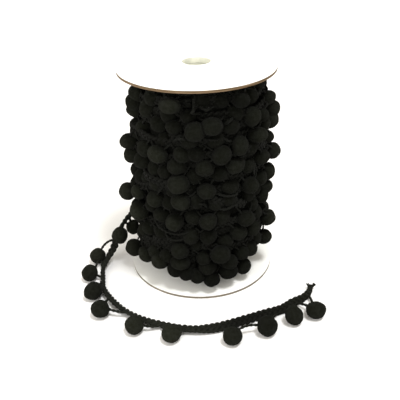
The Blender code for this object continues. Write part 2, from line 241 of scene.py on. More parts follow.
def new_material(name, colour, roughness, specular):
    """A Principled material, its tree and its shader, which holds the even values itself."""
    material = bpy.data.materials.new(name)
    material.use_nodes = True
    shader = material.node_tree.nodes["Principled BSDF"]
    shader.inputs["Base Color"].default_value = (*colour, 1.0)
    shader.inputs["Roughness"].default_value = roughness
    shader.inputs["Specular IOR Level"].default_value = specular
    return material, material.node_tree, shader


def add_node(tree, kind, inputs, operation=None):
    """A node of a material; each of its inputs is an even value or another node's output."""
    node = tree.nodes.new("ShaderNode" + kind)
    if operation:
        node.operation = operation
    for name, value in inputs.items():
        if isinstance(value, bpy.types.NodeSocket):
            tree.links.new(value, node.inputs[name])
        else:
            node.inputs[name].default_value = value
    return node


def noise(tree, scale, detail, stretch=(1.0, 1.0, 1.0)):
    """Noise in the piece's own coordinates; scale is in waves a metre."""
    place = add_node(tree, "TexCoord", {}).outputs["Object"]
    place = add_node(tree, "Mapping", {"Vector": place, "Scale": stretch}).outputs["Vector"]
    waves = {"Vector": place, "Scale": scale, "Detail": detail}
    return add_node(tree, "TexNoise", waves).outputs["Fac"]


def colour_between(tree, factor, dark, light, low=0.35, high=0.65):
    """A ramp that turns a noise into a colour between two."""
    ramp = add_node(tree, "ValToRGB", {"Fac": factor})
    for end, position, colour in zip(ramp.color_ramp.elements, (low, high), (dark, light)):
        end.position = position
        end.color = (*colour, 1.0)
    return ramp.outputs["Color"]


def bumped(tree, height, distance, strength, below=None):
    """A bump over a height, on top of another bump if one is given."""
    relief = {"Height": height, "Distance": distance, "Strength": strength}
    if below:
        relief["Normal"] = below
    return add_node(tree, "Bump", relief).outputs["Normal"]


def dress(tree, shader, colour, normal):
    """Gives a shader its colour and its bump."""
    tree.links.new(colour, shader.inputs["Base Color"])
    tree.links.new(normal, shader.inputs["Normal"])


BLACK_DEEP = (0.0056, 0.0061, 0.0034)
BLACK_LIT = (0.0117, 0.0126, 0.0096)
BRAID_LIT = (0.0145, 0.0153, 0.0125)
SHADE_FROM = 42.8 * MM  # from the roll's axis: painted shade, darker the deeper the trim lies
SHADE_TO = 47.0 * MM
PILE_DEEP = 0.58  # how light the pile is left by the painted shade there
BRAID_DEEP = 0.40  # and the braid
PAINTED_LIGHT_KEY = "painted_light_factor"  # painted light and shade: a factor at each point of a pompom or the loose braid, lighter or darker for how the light falls there


def paint_depth_shade(tree, colour, deepest, painted_light_factor=False):
    """Paints shade into a colour: darker towards the roll's axis, and scaled by the piece's painted light
    factor if it has one.
    """
    place = add_node(tree, "TexCoord", {}).outputs["Object"]
    flat = add_node(tree, "VectorMath", {0: place, 1: (1.0, 1.0, 0.0)}, "MULTIPLY")
    reach = add_node(tree, "VectorMath", {0: flat.outputs["Vector"]}, "LENGTH").outputs["Value"]
    depth = {"Value": reach, "From Min": SHADE_FROM, "From Max": SHADE_TO, "To Min": deepest}
    factor = add_node(tree, "MapRange", depth).outputs["Result"]
    if painted_light_factor:
        own = add_node(tree, "Attribute", {})
        own.attribute_name = PAINTED_LIGHT_KEY
        both = {0: factor, 1: own.outputs["Fac"]}
        factor = add_node(tree, "Math", both, "MULTIPLY").outputs["Value"]
    return add_node(tree, "VectorMath", {0: colour, "Scale": factor}, "SCALE").outputs["Vector"]


def paint_point_light(piece, shades):
    """Gives each point of a piece its painted light and shade factor."""
    layer = piece.data.attributes.new(PAINTED_LIGHT_KEY, "FLOAT", "POINT")
    layer.data.foreach_set("value", shades)


def make_braid_cotton(name, painted_light_factor=False):
    """Matte black cotton: fine fibres, a little paler where they stand up, with painted shade towards the
    roll's axis.
    """
    material, tree, shader = new_material(name, BLACK_DEEP, 0.85, 0.10)
    fibre = noise(tree, 2600.0, 3.0)
    tint = colour_between(tree, fibre, BLACK_DEEP, BRAID_LIT)
    tint = paint_depth_shade(tree, tint, BRAID_DEEP, painted_light_factor)
    dress(tree, shader, tint, bumped(tree, fibre, 0.15 * MM, 0.7))
    return material


BRAID_COTTON = make_braid_cotton("black_braid_cotton")
LOOSE_COTTON = make_braid_cotton("loose_braid_cotton", True)
SHADE_EVERY = 5  # points of the line
BRAID_PAINTED_LIGHT = (
    # millimetres from the roll, painted light and shade on the yarn there
    (0, 1.3), (20, 1.4), (28, 1.0), (95, 0.95), (105, 1.2),
    (135, 1.15), (150, 0.9), (163, 0.42), (178, 0.48), (192, 0.64),
    (208, 1.0), (222, 0.8),
)

tail_line = smooth_line(np.array(TAIL_ROUTE) * MM, TAIL_STEP)
tail_along = lengths_along(tail_line)
tail_run = unit(np.gradient(tail_line, axis=0))
tail_outward = unit(np.cross(tail_run, (0, 0, 1.0)))
lean_at, lean = np.array(TAIL_LEAN, float).T
tail_lean = np.radians(np.interp(tail_along, lean_at * MM, lean))[:, None]
upright = np.array((0, 0, 1.0))
tail_run, tail_side, tail_face = directions(
    tail_line, tail_outward * np.cos(tail_lean) + upright * np.sin(tail_lean)
)
outer_way = np.sum(tail_side * (tail_outward - EDGE_DOWN * upright), axis=1, keepdims=True)
pompom_edge = tail_side * np.sign(outer_way)
fluff = tube_skin(tail_line, tail_side, tail_face, FLUFF_RADIUS, 8, flat=FLUFF_FLAT)
tail_plait = gather([*plaited(tail_line, tail_side, tail_face), fluff])
np.maximum(tail_plait[0][:, 2], TABLE_TOUCH, out=tail_plait[0][:, 2])
tail_braid = make_piece("loose_braid", tail_plait, LOOSE_COTTON)
# Painted light and shade along the loose braid: each point takes the factor at the nearest place on its
# middle line.
apart = np.linalg.norm(tail_plait[0][:, None, :2] - tail_line[::SHADE_EVERY, :2], axis=2)
shade_at, shades = np.array(BRAID_PAINTED_LIGHT, float).T
yarn_shades = np.interp(tail_along[::SHADE_EVERY][apart.argmin(axis=1)], shade_at * MM, shades)
paint_point_light(tail_braid, yarn_shades)
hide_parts("tail_braid")

# ------------------------ the loose pompoms
# Balls of dense cut pile, about 11 mm across, each bound round its middle by the carrier yarn,
# which draws it in a little on the braid's side. They lie on the table beside the braid; the
# first two still hang from the stretch that comes down from the roll.
POMPOM_RADIUS = 5.6 * MM
LOOSE_RADIUS = 5.3 * MM
TAIL_POMPOMS = (
    # name, x, y, z, across, up, painted light and shade
    ("a", -45.6, 12.5, 16.4, 0.84, 1.0, 1.60),
    ("b", -52.3, -3.0, 19.9, 1.0, 1.1, 1.00),
    ("c", -67.8, -4.3, 4.9, 0.98, 1.03, 1.10),
    ("d", -70.2, -22.8, 5.0, 0.98, 0.96, 0.85),
    ("e", -65.7, -41.0, 5.3, 1.15, 0.94, 0.77),
    ("f", -59.2, -58.2, 5.3, 1.02, 0.97, 0.87),
    ("g", -38.5, -73.4, 5.3, 1.03, 1.03, 1.22),
    ("h", -17.2, -79.9, 5.3, 1.09, 0.96, 1.30),
    ("i", 15.5, -83.2, 5.3, 1.04, 0.95, 0.83),
    ("j", 34.7, -77.5, 5.3, 1.07, 1.08, 0.58),
    ("k", 50.6, -68.6, 5.3, 1.04, 1.02, 0.76),
    ("l", 63.9, -63.8, 5.0, 1.08, 0.86, 0.80),
)
PILE_LENGTH = 0.22 * MM  # how far the tufts stand past their roots
ROOTS_IN = (0.7, 1.1)  # how far in they lie, in lengths of pile
TIPS_IN = (0.0, 0.35)
TUFT_LEAN = 0.012  # how unevenly they lean
LUMPS = ((2.0, 0.052), (3.4, 0.040), (6.5, 0.020))  # waves over a pompom, how deep
LUMPS_EACH = 3
LUMPS_SPREAD = 1.7  # about the square root of that, which keeps their sum as deep
TIE_DENT = 0.09  # of the radius, where the carrier yarn draws a pompom in
PILE_SEED = 5


def round_net(level):
    """The corners and the triangles of an even ball of radius one."""
    net = bmesh.new()
    bmesh.ops.create_icosphere(net, subdivisions=level, radius=1.0)
    corners = np.array([vert.co[:] for vert in net.verts])
    faces = np.array([[vert.index for vert in face.verts] for face in net.faces])
    net.free()
    return unit(corners), faces


def random_turn(chance):
    """A turn about a random axis."""
    axis, _ = np.linalg.qr(chance.normal(size=(3, 3)))
    return axis * np.sign(np.linalg.det(axis))


def ball_form(chance, ways, tie, width, height):
    """How far a pompom's surface lies from its centre, in each way, as a share of its radius."""
    form = np.ones(len(ways))
    for waves, depth in LUMPS:
        for _ in range(LUMPS_EACH):
            wave = unit(chance.normal(size=3)) * waves
            form += depth * np.sin(ways @ wave + chance.uniform(0, 2 * math.pi)) / LUMPS_SPREAD
    form -= TIE_DENT * np.clip(ways @ tie, 0, 1) ** 3
    stretch = np.array((width, width, height))
    return form / np.linalg.norm(ways / stretch, axis=1)


def tufted_ball(chance, net, centre, radius, tie, width=1.0, height=1.0, tufted=True):
    """A pompom: an uneven ball of pile, with a tuft's tip over every face if it is tufted."""
    corners, faces = net
    ways = corners @ random_turn(chance).T
    if tufted:
        tips = unit(ways[faces].mean(axis=1) + chance.normal(scale=TUFT_LEAN, size=(len(faces), 3)))
        every = np.vstack([ways, tips])
        reach = ball_form(chance, every, tie, width, height) * radius
        reach[: len(ways)] -= PILE_LENGTH * chance.uniform(*ROOTS_IN, len(ways))
        reach[len(ways) :] -= PILE_LENGTH * chance.uniform(*TIPS_IN, len(tips))
        index = np.arange(len(tips)) + len(ways)
        sides = [np.stack([faces[:, a], faces[:, b], index], axis=1) for a, b in ((0, 1), (1, 2), (2, 0))]
        skin_faces = np.vstack(sides)
    else:
        every = ways
        reach = ball_form(chance, every, tie, width, height) * radius
        reach -= PILE_LENGTH * chance.uniform(0.0, 1.0, len(ways)) ** 2
        skin_faces = faces
    return centre + every * reach[:, None], skin_faces.tolist()


def paint_ball_light(piece, balls, shades):
    """Gives all the points of each ball in a piece that ball's painted light and shade factor."""
    paint_point_light(piece, np.repeat(shades, [len(points) for points, _ in balls]))


def make_pompom_pile():
    """Velvety black pile: short fibres that end matte, a shade paler on their tips, with painted shade
    towards the roll's axis and each point's painted light factor.
    """
    material, tree, shader = new_material("black_pompom_pile", BLACK_LIT, 1.0, 0.02)
    shader.inputs["Sheen Weight"].default_value = 0.012
    shader.inputs["Sheen Roughness"].default_value = 0.7
    fibre = noise(tree, 3200.0, 2.0)
    clump = noise(tree, 520.0, 2.0)
    mix = add_node(tree, "Math", {0: fibre, 1: clump}, "ADD").outputs["Value"]
    mix = add_node(tree, "Math", {0: mix, 1: 0.5}, "MULTIPLY").outputs["Value"]
    tint = colour_between(tree, mix, BLACK_DEEP, BLACK_LIT, 0.38, 0.62)
    tint = paint_depth_shade(tree, tint, PILE_DEEP, True)
    soft = bumped(tree, clump, 0.3 * MM, 0.4)
    dress(tree, shader, tint, bumped(tree, fibre, 0.12 * MM, 0.6, soft))
    return material


POMPOM_PILE = make_pompom_pile()


def nearest_braid(place):
    """The point of the loose braid's middle line that is nearest to a place."""
    return tail_line[np.linalg.norm(tail_line - place, axis=1).argmin()]


chance = np.random.RandomState(PILE_SEED)
fine_net = round_net(5)
for name, x, y, z, width, height, shade in TAIL_POMPOMS:
    centre = np.array((x, y, z)) * MM
    tie = unit(nearest_braid(centre) - centre)
    ball = tufted_ball(chance, fine_net, centre, LOOSE_RADIUS, tie, width, height, False)
    if z * MM < 2 * LOOSE_RADIUS:  # it lies on the table
        ball[0][:, 2] -= ball[0][:, 2].min()
    pompom = make_piece("loose_pompom_" + name, ball, POMPOM_PILE)
    paint_ball_light(pompom, [ball], [shade])
    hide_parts("tail_pompom_" + name)

# ------------------------ the loose carrier yarn
# One thin two-ply yarn sewn along the braid's lower edge. It leaves the edge before each pompom,
# goes through the ball's binding and comes back in a shallow loop.
YARN_RADIUS = 0.72 * MM
YARN_TWIST = 2.6 * MM
YARN_PLIES = 0.2  # how deep its two plies show
YARN_REST = 1.15  # radii from its middle to the table
YARN_STEEP = 0.9  # a run this upright takes its face from the side
YARN_LEAVES = 1.6 * MM  # from the braid's middle line, where it starts for a pompom
IN_POMPOM = 0.7  # of the pompom's radius, where it ends
EDGE_OUT = 1.9 * MM  # from the braid's middle line to the yarn, along its width
EDGE_EVERY = 4.0  # mm between the places it is led through there
YARN_RUNS = (
    # from, to (a pompom, or mm along the braid), bow away from the roll, rise, lean to the braid
    (6.0, "a", 0.6, 0.5, 1.1),
    ("a", 13.0, 0.6, 0.0, 1.1),
    (17.5, "b", 0.5, 0.5, 1.1),
    ("b", 28.0, 0.3, -0.3, 1.1),
    ("b", "c", 0.6, 2.1, -0.4),
    ("c", "d", 0.9, 0.2, 1.1),
    ("c", 51.5, 0.2, -0.2, 1.1),
    ("d", 57.0, 0.3, 0.3, 1.1),
    ("e", 60.0, 0.8, 0.6, 1.1),
    ("e", 67.0, 0.3, 0.3, 1.1),
    ("f", 80.0, 0.3, 0.4, 1.1),
    ("f", 98.0, 0.9, 0.2, 1.1),
    ("g", 102.0, 0.3, 0.3, 1.1),
    ("g", 119.5, 1.3, 0.1, 1.1),
    ("h", 123.5, 0.3, 0.3, 1.1),
    ("h", 136.0, 0.4, 0.2, 1.1),
    ("i", 155.5, 0.4, 0.2, 1.1),
    ("i", "j", -0.8, 1.4, 1.1),
    ("j", 188.5, 0.3, 0.3, 1.1),
    ("k", 196.5, 0.3, 0.3, 1.1),
    (204.0, "l", 0.2, 0.8, 0.7),
    ("l", 215.0, 0.5, 0.5, 1.1),
)
EDGE_RUNS = (
    # from, to, mm along the braid, slack
    (0.5, 30.0, 0.0),
    (50.0, 97.0, 0.0),
    (96.0, 124.0, 0.1),
    (133.0, 158.0, 0.5),
    (176.0, 221.0, 0.0),
)
ball_centres = {row[0]: np.array(row[1:4]) * MM for row in TAIL_POMPOMS}


def yarn_skin(points, radius=YARN_RADIUS, corners=8, step=0.45 * MM):
    """A two-ply yarn along a smooth line through the given points."""
    line = smooth_line(points, step)
    line[:, 2] = np.maximum(line[:, 2], radius * YARN_REST)
    run = unit(np.gradient(line, axis=0))
    face = np.where(np.abs(run[:, 2:3]) > YARN_STEEP, np.array((1.0, 0, 0)), upright)
    _, side, face = directions(line, face)
    return tube_skin(line, side, face, radius, corners, 2, YARN_TWIST, YARN_PLIES)


def outward(places):
    """The level way straight out from the roll's axis, at one place or at several."""
    return unit(places * np.array((1, 1, 0)))


def beside_braid(place, out=EDGE_OUT):
    """A point on the braid's pompom edge, a distance along it."""
    at = int(np.clip(np.searchsorted(tail_along, place * MM), 0, len(tail_line) - 1))
    return tail_line[at] + pompom_edge[at] * out


def yarn_place(place):
    """A pompom's centre, or a point on the braid's edge."""
    return ball_centres[place] if isinstance(place, str) else beside_braid(place)


def yarn_end(place, towards, neck):
    """Where a yarn starts: on the braid's edge, or a little inside a pompom."""
    if isinstance(place, str):
        centre = ball_centres[place]
        way = unit(unit(towards - centre) + neck * unit(nearest_braid(centre) - centre))
        return centre + way * LOOSE_RADIUS * IN_POMPOM
    return beside_braid(place, YARN_LEAVES)


yarn_skins = []
for start, stop, bow, rise, neck in YARN_RUNS:
    first, last = yarn_place(start), yarn_place(stop)
    first, last = yarn_end(start, last, neck), yarn_end(stop, first, neck)
    middle = (first + last) / 2
    away = outward(middle) * bow * MM + upright * rise * MM
    quarter = [first * 0.75 + last * 0.25 + away * 0.75, first * 0.25 + last * 0.75 + away * 0.75]
    yarn_skins.append(yarn_skin([first, quarter[0], middle + away, quarter[1], last]))
for start, stop, slack in EDGE_RUNS:
    places = np.arange(start, stop, EDGE_EVERY)
    swell = [EDGE_OUT + slack * MM * math.sin(math.pi * (p - start) / (stop - start)) for p in places]
    yarn_skins.append(yarn_skin([beside_braid(p, out) for p, out in zip(places, swell)]))
loose_yarn = make_piece("loose_carrier_yarn", gather(yarn_skins), BRAID_COTTON)

# ------------------------ the cut end
# The braid was snipped, and its strands have sprung apart: a short one and a long one stand off
# as a fork, the third stays under them. Each ends in a small tuft of loose fibres.
FRAY = (
    # to the left, forward, up, thickness, fibres
    ((1.9, 0.8, 0.5), 0.80, 10),
    ((-2.0, 1.2, 0.7), 0.95, 34),
    ((0.2, 0.4, -0.4), 0.75, 6),
)
FRAY_ROOT = 2.0 * MM  # a strand comes apart this far before the end
FRAY_TAPER = (0.7, 1.0, 0.8)  # its thickness at its root, 2 mm on and 6 mm on
FIBRE_RADII = np.array((0.30, 0.24, 0.08)) * MM  # root, middle and tip
FIBRE_AIM = 0.5  # how much a fibre keeps to its strand's direction
FIBRE_SPREAD = 0.6  # and strays from it
FIBRE_LENGTHS = (1.0, 1.5)  # mm
end_run, end_face = tail_run[-1], tail_face[-1]
end_left = unit(np.cross(upright, end_run))
fray_skins = []
for (leftward, forward, up), thickness, fibres in FRAY:
    back = tail_line[-1] - end_run * FRAY_ROOT + end_left * leftward * 0.3 * MM
    aim = end_left * leftward + end_run * forward + upright * up
    route = [back, tail_line[-1] + end_left * leftward * 0.5 * MM, tail_line[-1] + aim * MM]
    line = smooth_line(route, 0.3 * MM)
    line[:, 2] = np.maximum(line[:, 2], thickness * MM)
    _, side, face = directions(line, end_face)
    taper = np.interp(lengths_along(line), (0, 2 * MM, 6 * MM), FRAY_TAPER) * thickness * MM
    fray_skins.append(tube_skin(line, side, face, taper, 10, 3, PLY_TWIST, 0.12))
    for _ in range(fibres):
        way = unit(unit(aim) * FIBRE_AIM + chance.normal(scale=FIBRE_SPREAD, size=3))
        root = line[-1] - unit(aim) * 0.3 * MM
        tip = root + way * chance.uniform(*FIBRE_LENGTHS) * MM
        hair = np.array([root, root + way * 0.7 * MM, tip])
        hair[:, 2] = np.maximum(hair[:, 2], 0.2 * MM)
        _, side, face = directions(hair, (0.3, 0.2, 1.0))
        fray_skins.append(tube_skin(hair, side, face, FIBRE_RADII, 5))
cut_end = make_piece("cut_end", gather(fray_skins), BRAID_COTTON)

# ------------------------ the board discs
# Two discs die-cut from brown board, faced both sides with smooth white paper, 90 mm across.
# On the upper one the paper climbs over the tube's flared end, a collar round the hole. The cut
# edge shows the board's brown plies between the two white liners.
DISC_STEPS = 192
LINER = 0.07 * MM
disc_low, disc_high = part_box("flange_bottom"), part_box("flange_top")
DISC_RADIUS = disc_low[1][0]
BOARD = disc_low[1][2] - disc_low[0][2]
TOP_FACE = disc_high[0][2] + BOARD
HOLE_RADIUS = 8.0 * MM
LIP_RADIUS = 12.8 * MM
LIP_TOP = 8.9 * MM
LIP_RISE = disc_high[1][2] - TOP_FACE


def turned(radii, heights, steps):
    """A closed ring about the spool's axis: a circle for each height, the last joined to the first."""
    turn = np.linspace(0, 2 * math.pi, steps, endpoint=False)
    radii = np.broadcast_to(radii, (len(heights), steps))
    level = np.broadcast_to(np.array(heights)[:, None], radii.shape)
    points = np.stack([radii * np.sin(turn), -radii * np.cos(turn), level], axis=-1)
    quads = []
    for row in range(len(heights)):
        near, far = row * steps, (row + 1) % len(heights) * steps
        for step in range(steps):
            after = (step + 1) % steps
            quads.append((near + step, near + after, far + after, far + step))
    return points.reshape(-1, 3), quads


def disc_section(low, lip):
    """A disc's section; each stretch is 0 for white paper, 1 for the cut edge, 2 for the hole."""
    high = low + BOARD
    section = [
        (HOLE_RADIUS, low, 0),
        (DISC_RADIUS - 0.25 * MM, low, 0),
        (DISC_RADIUS - 0.05 * MM, low + 0.06 * MM, 0),
        (DISC_RADIUS, low + LINER, 1),
        (DISC_RADIUS - 0.07 * MM, low + 0.35 * BOARD, 1),
        (DISC_RADIUS - 0.02 * MM, low + 0.55 * BOARD, 1),
        (DISC_RADIUS - 0.08 * MM, low + 0.75 * BOARD, 1),
        (DISC_RADIUS, high - LINER, 0),
        (DISC_RADIUS - 0.05 * MM, high - 0.06 * MM, 0),
        (DISC_RADIUS - 0.25 * MM, high, 0),
    ]
    if lip:
        for share in np.linspace(0, 1, 13):
            ease = share * share * (3 - 2 * share)
            radius = LIP_RADIUS + share * (LIP_TOP - LIP_RADIUS)
            section.append((radius, high + ease * LIP_RISE, 0))
        high += LIP_RISE
        section.append((HOLE_RADIUS + 0.35 * MM, high - 0.03 * MM, 0))
        section.append((HOLE_RADIUS + 0.1 * MM, high - 0.12 * MM, 0))
        high -= 0.35 * MM
    section.append((HOLE_RADIUS, high, 2))
    return section


def make_white_paper():
    """Smooth bleached liner paper, with faint mottling and a few soft dents."""
    material, tree, shader = new_material("white_liner_paper", (0.88, 0.885, 0.86), 0.6, 0.3)
    mottle = noise(tree, 60.0, 4.0)
    tint = colour_between(tree, mottle, (0.865, 0.870, 0.845), (0.900, 0.905, 0.885))
    fibre = noise(tree, 1900.0, 3.0)
    dress(tree, shader, tint, bumped(tree, fibre, 0.03 * MM, 0.35))
    return material


def make_cut_board(name, dark, light):
    """A die-cut edge: board whose plies show as thin streaks round the rim."""
    material, tree, shader = new_material(name, light, 0.9, 0.2)
    plies = noise(tree, 90.0, 3.0, (1.0, 1.0, 34.0))
    tint = colour_between(tree, plies, dark, light, 0.36, 0.68)
    rough = noise(tree, 1500.0, 3.0, (1.0, 1.0, 3.0))
    dress(tree, shader, tint, bumped(tree, rough, 0.12 * MM, 0.6))
    return material


def make_tube_paper():
    """Bare tube paper, grey with a green-buff cast and cloudy like unbleached pulp."""
    material, tree, shader = new_material("grey_tube_paper", (0.78, 0.78, 0.68), 0.85, 0.2)
    mottle = noise(tree, 240.0, 4.0, (1.0, 1.0, 0.4))
    tint = colour_between(tree, mottle, (0.72, 0.73, 0.63), (0.86, 0.86, 0.75))
    dress(tree, shader, tint, bumped(tree, mottle, 0.05 * MM, 0.4))
    return material


WHITE_PAPER = make_white_paper()
# One board in two tones: darker on the upper disc's edge for its painted shade, paler and greyer on the
# lower one's for its painted light.
SHADED_BOARD_EDGE = make_cut_board("cut_board_painted_shade", (0.085, 0.052, 0.024), (0.24, 0.170, 0.105))
LIT_BOARD_EDGE = make_cut_board("cut_board_painted_light", (0.115, 0.094, 0.067), (0.27, 0.235, 0.185))
TUBE_PAPER = make_tube_paper()
for name, low, lip, cut_board in (
    ("flange_bottom", disc_low[0][2], False, LIT_BOARD_EDGE),
    ("flange_top", disc_high[0][2], True, SHADED_BOARD_EDGE),
):
    radii, heights, finishes = zip(*disc_section(low, lip))
    skin = turned(np.array(radii)[:, None], heights, DISC_STEPS)
    disc_name = name.replace("flange", "board_disc")
    disc = make_piece(disc_name, skin, WHITE_PAPER, cut_board, TUBE_PAPER)
    disc.data.polygons.foreach_set("material_index", np.repeat(finishes, DISC_STEPS))
    disc.data.set_sharp_from_angle(angle=math.radians(40))
    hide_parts(name)

# ------------------------ the tube
# A wound paper tube that joins the discs. Only its bore shows, through the upper disc's hole:
# bare grey paper with the winding's seam running down it in a slow spiral.
SEAM_TURNS = 2.6
SEAM_DEPTH = 0.12 * MM
SEAM_WIDTH = 0.012  # of a turn
tube_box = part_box("core_tube")
TUBE_RADIUS = tube_box[1][0]
TUBE_STEPS = 96
TUBE_LEVELS = 90


def tube_wall():
    """The tube's skin, its bore grooved along the spiral seam."""
    levels = np.linspace(tube_box[1][2], tube_box[0][2], TUBE_LEVELS)
    turn = np.linspace(0, 2 * math.pi, TUBE_STEPS, endpoint=False)
    rise = (levels - levels[-1]) / (levels[0] - levels[-1])
    spiral = (turn / (2 * math.pi) + SEAM_TURNS * rise[:, None]) % 1
    bore = HOLE_RADIUS + SEAM_DEPTH * np.exp(-(((spiral - 0.5) / SEAM_WIDTH) ** 2))
    outside = np.full((2, TUBE_STEPS), TUBE_RADIUS)
    return turned(np.vstack([outside, bore]), [levels[-1], levels[0], *levels], TUBE_STEPS)


tube = make_piece("paper_tube", tube_wall(), TUBE_PAPER)
tube.data.set_sharp_from_angle(angle=math.radians(50))
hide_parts("core_tube")

# ------------------------ the roll's outer pompoms
# The trim is wound on by hand in turns a little less than a pompom apart, so the balls stand
# out at every angle. The roll's own turns, as wound, with the angles where a pompom shows.
TURNS = (
    # height, how much lower its sides lie, left, right, angles on the front
    (120.4, 3.0, 34.6, 37.6, (-72, -46, 3, 20, 50)),
    (112.6, 0.5, 36.7, 39.9, (-74, -52, -8, 32, 76)),
    (106.0, 0.6, 35.4, 41.8, (-82, -37, -20, 26, 62, 80)),
    (99.4, 0.4, 36.6, 41.6, (-62, -8, 14, 66, 78)),
    (92.2, 3.6, 41.0, 39.8, (-76, -50, -14, -2, 48, 76)),
    (84.8, 5.0, 39.9, 43.5, (-76, -58, -18, 4, 29, 60, 77)),
    (79.0, 1.0, 37.4, 40.0, (-43, -30, -4, 18, 46)),
    (71.0, 4.6, 38.0, 41.2, (-40, 26, 60, 76)),
    (64.5, 8.4, 42.4, 39.8, (-40, -3, 24, 76)),
    (52.4, 6.5, 38.2, 40.2, (-75, -38, -6, 18)),
    (40.6, 6.2, 39.0, 42.2, (-56, -38, -8, 6, 34, 50, 76)),
    (34.4, 3.0, 39.6, 38.4, (-66, -34, 22, 50)),
    (25.0, 4.6, 41.0, 40.3, (-46, -32, 2, 38, 48, 76)),
    (20.6, 6.8, 41.4, 36.0, ()),
    (17.4, 1.2, 40.6, 36.6, ()),
    (12.0, 0.0, 39.6, 37.6, ()),
    (11.0, 0.0, 38.4, 37.2, ()),
)
STANDING_OUT = (
    # angle, distance from the axis, height, millimetres across, millimetres up, painted light and shade
    (-20, 41.2, 120.1, 11.6, 8.8, 1.05),
    (33, 41.2, 120.4, 9.4, 9.0, 0.50),
    (45, 41.2, 109.2, 9.8, 11.0, 0.95),
    (-3, 41.2, 106.3, 10.8, 11.8, 0.72),
    (10, 41.2, 108.9, 11.8, 10.6, 0.70),
    (51, 41.2, 97.2, 12.2, 9.2, 0.93),
    (32, 41.2, 95.0, 10.2, 11.2, 0.90),
    (17, 41.2, 91.3, 11.0, 12.0, 0.74),
    (-32, 41.2, 91.1, 11.8, 10.2, 1.10),
    (-16, 41.2, 75.6, 12.2, 11.6, 0.87),
    (5, 41.2, 70.9, 10.4, 9.8, 0.77),
    (43, 41.2, 68.5, 10.2, 11.6, 0.75),
    (-15, 41.2, 64.4, 11.4, 9.8, 0.90),
    (-61, 41.2, 60.6, 9.4, 8.8, 1.60),
    (6, 41.2, 51.6, 10.6, 10.4, 0.82),
    (-21, 41.2, 50.6, 11.6, 10.4, 1.00),
    (68, 39.6, 53.0, 9.6, 9.4, 1.15),
    (-77, 44.9, 56.0, 10.9, 10.9, 1.30),
    (39, 41.2, 47.5, 10.8, 10.8, 0.76),
    (-62, 41.2, 46.9, 12.0, 11.8, 1.45),
    (-18, 41.2, 31.7, 10.8, 10.8, 0.72),
    (15, 41.2, 28.3, 11.8, 11.6, 0.65),
    (-78, 43.5, 14.3, 11.6, 11.6, 1.00),
    (-58, 40.3, 17.6, 10.6, 10.4, 1.40),
    (-38, 40.4, 19.4, 11.0, 9.8, 1.20),
    (-19, 39.2, 21.6, 12.2, 9.8, 0.98),
    (4.5, 38.4, 18.4, 11.0, 9.8, 0.86),
    (25, 38.0, 19.4, 11.2, 11.2, 0.80),
    (-23, 38.7, 16.2, 11.2, 10.4, 0.62),
    (-14, 38.6, 14.5, 10.4, 9.8, 0.56),
    (-4, 38.7, 12.8, 11.0, 10.0, 0.62),
    (8, 40.2, 10.4, 9.6, 9.6, 0.54),
    (24, 38.2, 12.9, 12.4, 9.8, 0.56),
    (41.5, 37.2, 10.8, 11.0, 11.2, 0.98),
)
SUNK = 2.5 * MM  # the other front pompoms lie this much deeper
SUNK_WITHIN = 68  # degrees either side of the front
SUNK_ABOVE = 18.4 * MM  # the lowest ones stay where they are
BACK_REACH = 36.2  # the turns lie closer just behind the roll's widest places
BACK_SWELL = 4.8  # and come out again by this much on its back
BACK_BLEND = 14.0  # degrees over which a turn draws in, at its widest places
SWELL_FROM = 110.0  # degrees
SWELL_TO = 165.0
BACK_FIRST = 104  # degrees, the first pompom of a turn on the back
BACK_STEP = 27
BACK_STAGGER = 11
BACK_LAST = 262
BACK_JITTER = 5.0
HEIGHT_JITTER = 1.8 * MM
WOUND_SEED = 11
ROLL_GAP = 0.3 * MM
CLEAR_OF_TAIL = 9.1 * MM
CROWDED = 6.0 * MM
PLAIN_SHADES = (0.80, 1.15)  # of the pompoms that are not in the table above
PLAIN_SIZES = (0.90, 1.0)
PLAIN_ACROSS = (0.92, 1.08)
PLAIN_UP = (0.84, 1.05)
ROUND_PAINTED_LIGHT = (
    # angle, painted light on the pile there: lighter at the sides, most on the left
    (-90, 1.5), (-60, 1.35), (-30, 1.0), (0, 0.85),
    (40, 0.88), (60, 1.05), (90, 1.25), (180, 1.0),
)
BRAID_ABOVE = 6.6  # mm from a turn's pompoms up to the braid they hang from
BRAID_INSET = 3 * MM  # no braid's middle comes nearer to a disc than this
BRAID_PROUD = 1.0 * MM  # of the wound body
WANDER = ((1.3, 3, 70), (0.8, 7, -50))  # mm, waves round the roll, degrees from turn to turn
BODY_UNDER = 3.6 * MM  # the wound body lies this far inside the outer pompoms' centres
BODY_LOW = disc_low[1][2] + ROLL_GAP
BODY_HIGH = disc_high[0][2] - ROLL_GAP
TAIL_CHECK_STEP = 6.0 * MM


def polar(angle, reach, height):
    """The point at an angle round the roll from its front, a distance out and a height."""
    turn = math.radians(angle)
    return np.array((reach * math.sin(turn), -reach * math.cos(turn), height))


def turn_reach(left, right, angle):
    """A turn's reach goes from left to right across the front and is closer at the back."""
    front = left + (right - left) * (1 + math.sin(math.radians(angle))) / 2
    off_front = abs((angle + 180) % 360 - 180)
    swell = min(max((off_front - SWELL_FROM) / (SWELL_TO - SWELL_FROM), 0.0), 1.0)
    back = BACK_REACH + BACK_SWELL * swell
    share = min(max((off_front - 90 + BACK_BLEND / 2) / BACK_BLEND, 0.0), 1.0)
    return front + (back - front) * share


def turn_height(height, drop, angle):
    """A turn hangs lower at the sides of the roll than at its front and back."""
    return height - drop * math.sin(math.radians(angle)) ** 2


